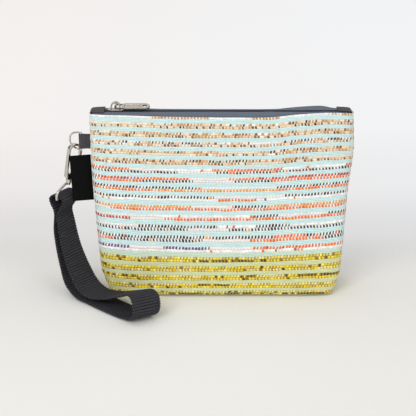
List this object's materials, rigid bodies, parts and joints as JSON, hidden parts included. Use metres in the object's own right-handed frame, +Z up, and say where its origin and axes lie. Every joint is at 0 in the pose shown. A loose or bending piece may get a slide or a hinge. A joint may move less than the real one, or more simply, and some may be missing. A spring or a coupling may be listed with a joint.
{
  "type": "zipped wristlet pouch",
  "caption": "Small zipped pouch of striped woven fabric with a flat base, a side D-ring and a swivel snap hook carrying a webbing wrist strap.",
  "frame": {"origin": "centre of the flat base, on the surface it stands on", "axes": "+Z up, +X along the zip from its closed end to its open end, -Y towards the front"},
  "size_m": [0.2593, 0.1013, 0.1703],
  "materials": {
    "woven_fabric": "handwoven stripes of aqua yarn and coloured foil strips",
    "lining_cloth": "plain weave cloth",
    "zip_tape": "grey twill tape",
    "zip_coil": "nylon coil",
    "tab_cloth": "charcoal ribbon",
    "nickel": "nickel plated",
    "steel": "plain steel",
    "webbing": "ribbed webbing",
    "label_cloth": "bare black woven label"
  },
  "bodies": {
    "pouch": {"front_panel": "woven_fabric", "back_panel": "woven_fabric", "front_lining": "lining_cloth", "back_lining": "lining_cloth", "zip_tape_front_left": "zip_tape", "zip_tape_front_right": "zip_tape", "zip_tape_back_left": "zip_tape", "zip_tape_back_right": "zip_tape", "zip_coil_front_left": "zip_coil", "zip_coil_front_right": "zip_coil", "zip_coil_back_left": "zip_coil", "zip_coil_back_right": "zip_coil", "zip_end_tab_left": "tab_cloth", "zip_end_tab_right": "tab_cloth", "ring_ribbon": "tab_cloth"},
    "front_flap": {"zip_tape_front_middle": "zip_tape", "zip_coil_front_middle": "zip_coil"},
    "back_flap": {"zip_tape_back_middle": "zip_tape", "zip_coil_back_middle": "zip_coil"},
    "slider": {"zip_slider": "nickel"},
    "pull": {"slider_pull": "nickel"},
    "label": {"side_label": "label_cloth"},
    "ring": {"d_ring": "nickel"},
    "hook": {"hook_body": "nickel", "trigger_pin": "steel", "trigger_spring": "steel"},
    "trigger": {"hook_trigger": "nickel"},
    "swivel": {"swivel_eye": "nickel"},
    "strap": {"wrist_strap": "webbing"}
  },
  "joints": [
    {"name": "front_flap_open", "type": "hinge", "parent": "pouch", "child": "front_flap", "pos_m": [0, -0.0099, 0.16185], "axis": [1, 0, 0], "range_deg": [0, 80]},
    {"name": "back_flap_open", "type": "hinge", "parent": "pouch", "child": "back_flap", "pos_m": [0, 0.0099, 0.16185], "axis": [-1, 0, 0], "range_deg": [0, 80]},
    {"name": "slider_travel", "type": "slide", "parent": "pouch", "child": "slider", "axis": [1, 0, 0], "range_m": [0, 0.18], "deforming": ["zip_coil_front_left", "zip_coil_front_middle", "zip_coil_front_right", "zip_coil_back_left", "zip_coil_back_middle", "zip_coil_back_right"]},
    {"name": "pull_flip", "type": "hinge", "parent": "slider", "child": "pull", "pos_m": [-0.08895, 0, 0.166], "axis": [0, -1, 0], "range_deg": [0, 175]},
    {"name": "label_swing", "type": "hinge", "parent": "pouch", "child": "label", "pos_m": [-0.11127, 0, 0.103], "axis": [-0.0358, 0, 0.9994], "range_deg": [0, 70]},
    {"name": "ring_swing", "type": "hinge", "parent": "pouch", "child": "ring", "pos_m": [-0.11935, 0, 0.1354], "axis": [0, 0, 1], "range_deg": [-55, 0]},
    {"name": "hook_swing", "type": "hinge", "parent": "ring", "child": "hook", "pos_m": [-0.12509, 0.00305, 0.12872], "axis": [-0.8829, 0.4695, 0], "range_deg": [0, 35], "deforming": ["side_label"]},
    {"name": "trigger_press", "type": "hinge", "parent": "hook", "child": "trigger", "pos_m": [-0.12552, 0.00528, 0.10712], "axis": [0.5944, -0.7986, -0.0941], "range_deg": [0, 28], "deforming": ["trigger_spring"]},
    {"name": "swivel_turn", "type": "hinge", "parent": "hook", "child": "swivel", "pos_m": [-0.13139, 0.00161, 0.10117], "axis": [0.1564, 0, 0.9877], "range_deg": [-40, 0]},
    {"name": "strap_swing", "type": "hinge", "parent": "swivel", "child": "strap", "pos_m": [-0.1341, 0.00161, 0.08408], "axis": [0.4938, 0.866, -0.0782], "range_deg": [-7, 45]}
  ]
}
